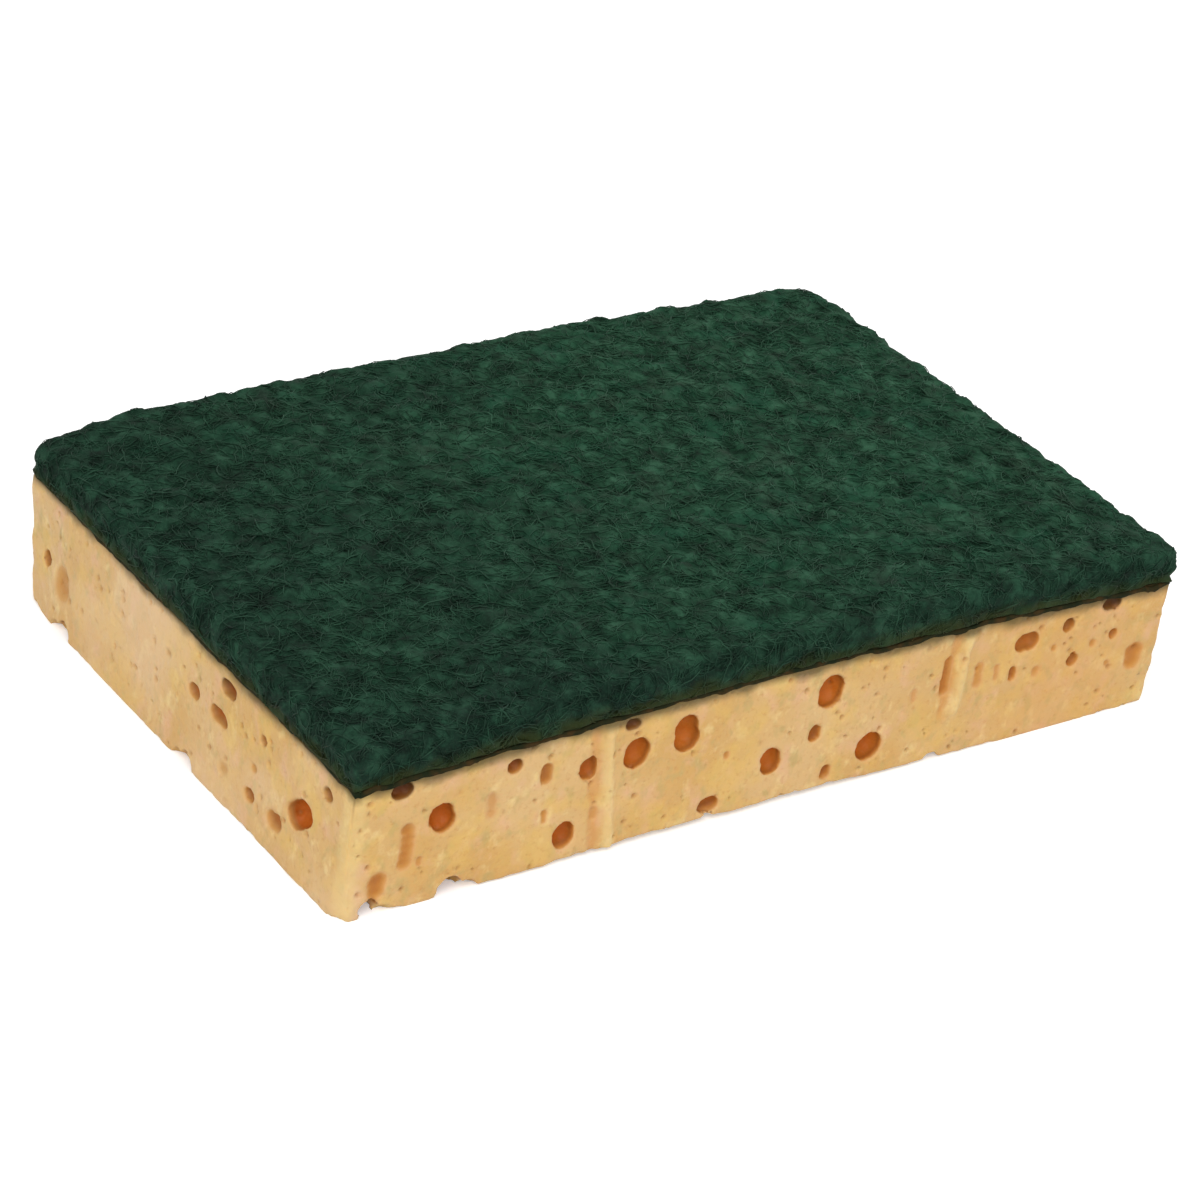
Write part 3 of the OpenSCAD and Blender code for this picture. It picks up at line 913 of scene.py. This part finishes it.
def make_fibres(skin, tree, number):
    """One layer of curled fibres that lie in and on the web."""
    rng = np.random.default_rng(FIRST_FIBRE_SEED + number)
    count = FIBRES_PER_PIECE
    place, normal = settle(tree, surface_samples(skin, count, rng))
    heading = unit(np.cross(normal, rng.normal(size=(count, 3))))
    curl = rng.normal(0, FIBRE_CURL, count)
    lifts = rng.uniform(*FIBRE_LIFTS_MM, count)
    wave = rng.uniform(0, 2 * math.pi, count)
    centres, normals = [], []
    for ring in range(FIBRE_STEPS + 1):
        ends = abs(2 * ring / FIBRE_STEPS - 1) ** 3
        lift = lifts + FIBRE_WAVE_MM * np.sin(wave + FIBRE_WAVE_TURN * ring)
        lift = lift - FIBRE_DIP_MM * ends - FIBRE_FAR_DROP_MM * far_side(place)
        centres.append(place + normal * lift[:, None])
        normals.append(normal)
        angle = curl + rng.normal(0, FIBRE_WANDER, count)
        side = np.cross(normal, heading)
        heading = heading * np.cos(angle)[:, None] + side * np.sin(angle)[:, None]
        place, normal = settle(tree, place + heading * FIBRE_STEP_MM)
        heading = unit(heading - normal * np.sum(heading * normal, axis=1)[:, None])
    centres = np.stack(centres, axis=1)
    normals = np.stack(normals, axis=1)
    thick = rng.uniform(*FIBRE_RADII_MM, count)
    thick *= np.where(rng.random(count) < STOUT_SHARE, STOUT_FACTOR, 1.0)
    taper = 1 - 0.5 * np.abs(np.linspace(-1, 1, FIBRE_STEPS + 1)) ** 4
    places, quads, caps = tubes(centres, normals, thick[:, None] * taper[None, :], FIBRE_SIDES)
    fibres = new_object(f"web_fibres_{number}", mesh_from_arrays("web_fibres", places, quads, caps))
    set_attribute(fibres.data, "painted_shade", painted_pad_shade(places))
    set_attribute(fibres.data, "soaked_and_shaded", soaked_and_shaded(places))
    points_each = (FIBRE_STEPS + 1) * FIBRE_SIDES
    set_attribute(fibres.data, "shade", np.repeat(rng.random(count), points_each))
    return fibres


def make_fibre_layers(skin):
    """The fibres, laid over the skin of the web, which is deleted afterwards."""
    tree = BVHTree.FromPolygons([v.co for v in skin.vertices], [tuple(p.vertices) for p in skin.polygons])
    material = fibre_material()
    for number in range(FIBRE_PIECES):
        fibres = make_fibres(skin, tree, number)
        fibres.data.materials.append(material)
        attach(fibres, "root")
    bpy.data.meshes.remove(skin)


# The adhesive

def make_bead():
    """Adhesive that was squeezed out along the joint: an uneven bead round the foam's upper edge."""
    corners = np.array([
        (-HALF_LEN_MM, -HALF_WID_MM),
        (HALF_LEN_MM, -HALF_WID_MM),
        (HALF_LEN_MM, HALF_WID_MM),
        (-HALF_LEN_MM, HALF_WID_MM),
    ])
    loop = []
    for start, end in zip(corners, np.roll(corners, -1, axis=0)):
        steps = int(np.linalg.norm(end - start) / BEAD_SPACING_MM)
        loop += [start + (end - start) * s / steps for s in range(steps)]
    loop = np.array(loop)
    flat = np.column_stack([loop, np.zeros(len(loop))])
    radius = BEAD_RADIUS_MM + layered_noise(flat, BEAD_SWELLS_MM)
    inner = np.array((HALF_LEN_MM, HALF_WID_MM)) - BEAD_BAND_MM
    inward = -BEAD_INWARD_MM * np.sign(loop) * (np.abs(loop) > inner)
    height = joint_height(loop[:, 0]) - BEAD_BELOW_JOINT_MM + layered_noise(flat, BEAD_DROPS_MM)
    height += BEAD_LEFT_RISE_MM * (loop[:, 0] < -inner[0])
    height -= BEAD_FRONT_DROP_MM * (loop[:, 1] < -inner[1])
    centres = np.column_stack([loop + inward, height])
    along = unit(np.roll(centres, -1, axis=0) - np.roll(centres, 1, axis=0))
    up = np.array([0.0, 0.0, 1.0])
    across = unit(np.cross(along, up))
    turn = np.arange(BEAD_SIDES) * 2 * math.pi / BEAD_SIDES
    wide, high = BEAD_SECTION
    ring = wide * across[:, None] * np.cos(turn)[:, None] + high * up * np.sin(turn)[:, None]
    places = (centres[:, None] + ring * radius[:, None, None]).reshape(-1, 3)
    k = (np.arange(len(loop)) * BEAD_SIDES)[:, None]
    following = np.roll(k, -1, axis=0)
    s = np.arange(BEAD_SIDES)[None, :]
    t = (s + 1) % BEAD_SIDES
    quads = np.stack([k + s, k + t, following + t, following + s], axis=-1).reshape(-1, 4)
    bead = new_object("adhesive_bead", mesh_from_arrays("adhesive_bead", places, quads))
    bead.data.materials.append(adhesive_material())
    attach(bead, "root")


# Stage, lamps and camera

def make_stage():
    """A floor, and a world that is white to the camera and in reflections."""
    side = FLOOR_HALF_SIDE
    floor = new_object("floor", bpy.data.meshes.new("floor"))
    corners = [(-side, -side, 0), (side, -side, 0), (side, side, 0), (-side, side, 0)]
    floor.data.from_pydata(corners, [], [(0, 1, 2, 3)])
    floor.data.materials.append(floor_material())

    world = bpy.data.worlds.new("studio")
    bpy.context.scene.world = world
    world.use_nodes = True
    tree = world.node_tree
    background = tree.nodes["Background"]
    background.inputs["Color"].default_value = (1, 1, 1, 1)
    path = tree.nodes.new("ShaderNodeLightPath")
    seen = tree.nodes.new("ShaderNodeMath")
    seen.operation = "MAXIMUM"
    tree.links.new(path.outputs["Is Camera Ray"], seen.inputs[0])
    tree.links.new(path.outputs["Is Glossy Ray"], seen.inputs[1])
    strength = tree.nodes.new("ShaderNodeMapRange")
    strength.inputs["To Min"].default_value = WORLD_STRENGTH
    strength.inputs["To Max"].default_value = 1.0
    tree.links.new(seen.outputs[0], strength.inputs["Value"])
    tree.links.new(strength.outputs["Result"], background.inputs["Strength"])


def add_lamp(name, place, size, power):
    """A square soft box that faces the sponge."""
    lamp = bpy.data.lights.new(name, "AREA")
    lamp.size = size
    lamp.energy = power
    made = new_object(name, lamp)
    made.location = place
    made.rotation_euler = (-Vector(place)).to_track_quat("-Z", "Y").to_euler()


def make_camera():
    azimuth, elevation = math.radians(CAMERA_AZIMUTH), math.radians(CAMERA_ELEVATION)
    back = Vector((
        math.sin(azimuth) * math.cos(elevation),
        -math.cos(azimuth) * math.cos(elevation),
        math.sin(elevation),
    ))
    level = Vector((0, 0, 1)).cross(back).normalized()
    upright = back.cross(level)
    roll = math.radians(CAMERA_ROLL)
    right = level * math.cos(roll) + upright * math.sin(roll)
    up = upright * math.cos(roll) - level * math.sin(roll)
    camera = bpy.data.cameras.new("camera")
    camera.sensor_width = SENSOR_MM
    camera.lens = FOCAL_PIXELS / PHOTO_PIXELS * SENSOR_MM
    camera.clip_start = 0.05
    made = new_object("camera", camera)
    target = Vector(CAMERA_TARGET_MM) * MM
    turn = Matrix((right, up, back)).transposed().to_4x4()
    made.matrix_world = Matrix.Translation(target + back * CAMERA_DISTANCE_MM * MM) @ turn
    bpy.context.scene.camera = made


make_camera()
make_stage()
for lamp_settings in LAMPS:
    add_lamp(*lamp_settings)
make_foam()
make_fibre_layers(make_web())
make_bead()
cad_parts["bond_layer"].data.materials.clear()
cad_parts["bond_layer"].data.materials.append(adhesive_material())

bpy.context.scene.view_settings.view_transform = "Standard"
